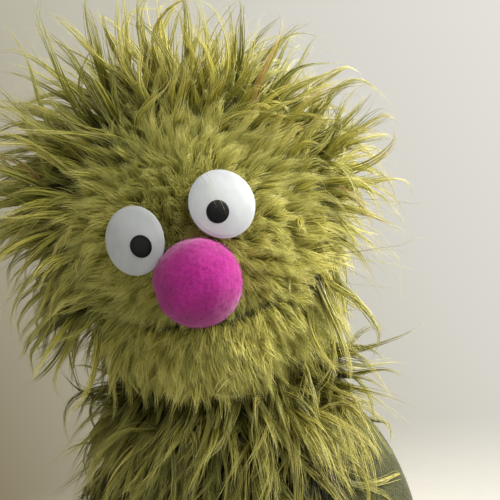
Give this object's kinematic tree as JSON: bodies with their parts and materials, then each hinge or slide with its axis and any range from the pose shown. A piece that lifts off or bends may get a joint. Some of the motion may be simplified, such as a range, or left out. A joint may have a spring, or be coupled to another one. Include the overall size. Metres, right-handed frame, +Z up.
{
  "type": "hand puppet",
  "caption": "Furry hand puppet with a hinged mouth, domed button eyes, a felted ball nose and an open fleece sleeve that takes the forearm.",
  "frame": {"origin": "under the middle of the whole puppet, on the plane that the hem rests on", "axes": "+Z up, the face looks along -Y, +X to the viewer's right as the face is looked at"},
  "size_m": [0.276, 0.261, 0.46],
  "materials": {
    "long_fur": "long soft pile with pale tips",
    "clipped_fur": "clipped pile",
    "fleece": "matt brushed fleece",
    "foam": "open-cell foam",
    "mouth_felt": "matt felt",
    "board": "stiff flexible sheet",
    "elastic": "woven elastic",
    "nose_felt": "needle-felted wool",
    "thread": "sewing thread",
    "eye_white": "satin",
    "pupil_black": "gloss"
  },
  "bodies": {
    "puppet_body": {"fleece_front": "fleece", "fleece_back": "fleece", "body_hem": "fleece", "collar_binding": "fleece", "chest_fur": "long_fur", "shoulder_fur": "long_fur"},
    "lower_neck": {"lower_neck_band": "fleece"},
    "upper_neck": {"upper_neck_band": "fleece"},
    "head": {"head_neck_band": "fleece", "neck_lining": "fleece", "throat_fur": "long_fur", "head_foam_left": "foam", "head_foam_right": "foam", "face_fur": "clipped_fur", "crown_fur": "long_fur", "left_side_fur": "long_fur", "right_side_fur": "long_fur", "back_fur": "long_fur", "upper_mouth_board": "board", "upper_mouth_lining": "mouth_felt", "hinge_tape": "mouth_felt", "finger_strap": "elastic", "nose_ball": "nose_felt", "nose_thread": "thread", "nose_button": "eye_white"},
    "jaw": {"jaw_foam": "foam", "lower_mouth_board": "board", "lower_mouth_lining": "mouth_felt", "thumb_strap": "elastic", "chin_fur": "clipped_fur"},
    "left_eye": {"left_eye_dome": "eye_white", "left_eye_pupil": "pupil_black", "left_eye_shank": "eye_white", "left_eye_washer": "eye_white"},
    "right_eye": {"right_eye_dome": "eye_white", "right_eye_pupil": "pupil_black", "right_eye_shank": "eye_white", "right_eye_washer": "eye_white"}
  },
  "joints": [
    {"name": "neck_turn", "type": "hinge", "parent": "puppet_body", "child": "lower_neck", "pos_m": [0, 0.0325, 0.19], "axis": [0, 0, 1], "range_deg": [-30, 30], "deforming": ["throat_fur"]},
    {"name": "neck_tilt", "type": "hinge", "parent": "lower_neck", "child": "upper_neck", "pos_m": [0, 0.0325, 0.19], "axis": [0, 1, 0], "range_deg": [-12, 12], "deforming": ["throat_fur"]},
    {"name": "neck_nod", "type": "hinge", "parent": "upper_neck", "child": "head", "pos_m": [0, 0.0325, 0.19], "axis": [1, 0, 0], "range_deg": [-15, 10], "deforming": ["throat_fur"]},
    {"name": "jaw_open", "type": "hinge", "parent": "head", "child": "jaw", "pos_m": [0, 0.0085, 0.282], "axis": [1, 0, 0], "range_deg": [0, 28], "deforming": ["throat_fur"]},
    {"name": "left_eye_turn", "type": "hinge", "parent": "head", "child": "left_eye", "pos_m": [-0.032, -0.08497, 0.3275], "axis": [-0.4683, -0.8808, 0.0698], "continuous": true},
    {"name": "right_eye_turn", "type": "hinge", "parent": "head", "child": "right_eye", "pos_m": [0.02, -0.08718, 0.3395], "axis": [0.3664, -0.9069, 0.2079], "continuous": true}
  ]
}
